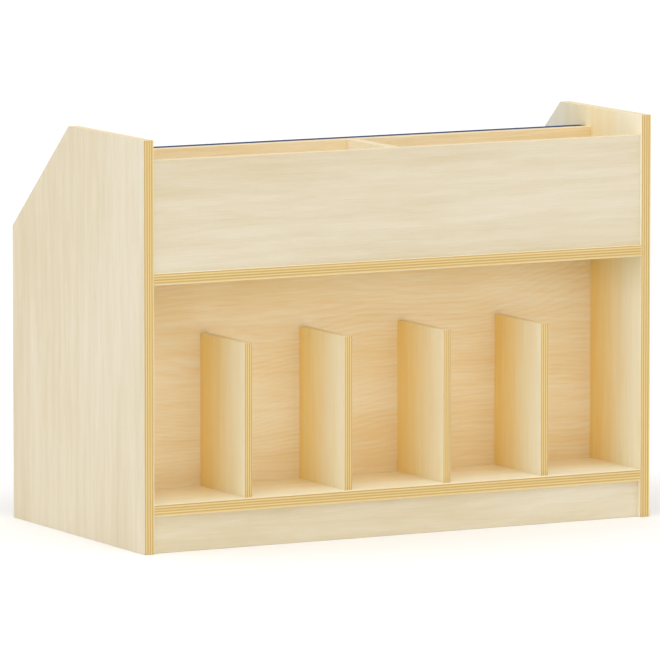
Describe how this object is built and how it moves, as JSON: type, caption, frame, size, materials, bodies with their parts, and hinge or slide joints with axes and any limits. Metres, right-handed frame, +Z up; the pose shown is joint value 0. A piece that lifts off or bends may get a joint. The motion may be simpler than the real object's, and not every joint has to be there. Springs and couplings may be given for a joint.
{
  "type": "library book storage and display unit",
  "caption": "Low plywood library unit with an open-topped book bin over upright book slots, and a sloped display board behind.",
  "frame": {"origin": "on the floor at the middle of the footprint", "axes": "+X along the unit's width, -Y towards the storage side with the bin and the book slots, +Y towards the sloped display side, +Z up"},
  "size_m": [1, 0.517, 0.715],
  "materials": {
    "birch_ply": "pale birch veneer on plywood, clear satin lacquer, bare laminated edges",
    "birch_ply_thin": "15 mm plywood with the same veneer and lacquer",
    "blue_laminate": "slate-blue matt laminate on plywood, with edges in the same colour",
    "batten_wood": "planed softwood, unfinished",
    "beech": "plain",
    "steel": "bright zinc plated",
    "zinc": "die-cast zinc, dull"
  },
  "bodies": {
    "root": {"left_end_panel": "birch_ply", "right_end_panel": "birch_ply", "low_shelf": "birch_ply", "bin_floor": "birch_ply", "bin_front": "birch_ply", "bin_divider": "birch_ply", "centre_partition": "birch_ply", "book_stop": "birch_ply", "bay_upright": "birch_ply", "near_plinth": "birch_ply", "far_plinth": "birch_ply", "plinth_brace": "birch_ply", "display_board": "blue_laminate", "slot_divider_1": "birch_ply_thin", "slot_divider_2": "birch_ply_thin", "slot_divider_3": "birch_ply_thin", "slot_divider_4": "birch_ply_thin", "left_batten": "batten_wood", "right_batten": "batten_wood", "wood_dowels": "beech", "cam_bolts": "steel", "cams": "zinc", "divider_screws": "steel", "batten_screws": "steel", "board_screws": "steel"}
  },
  "joints": []
}
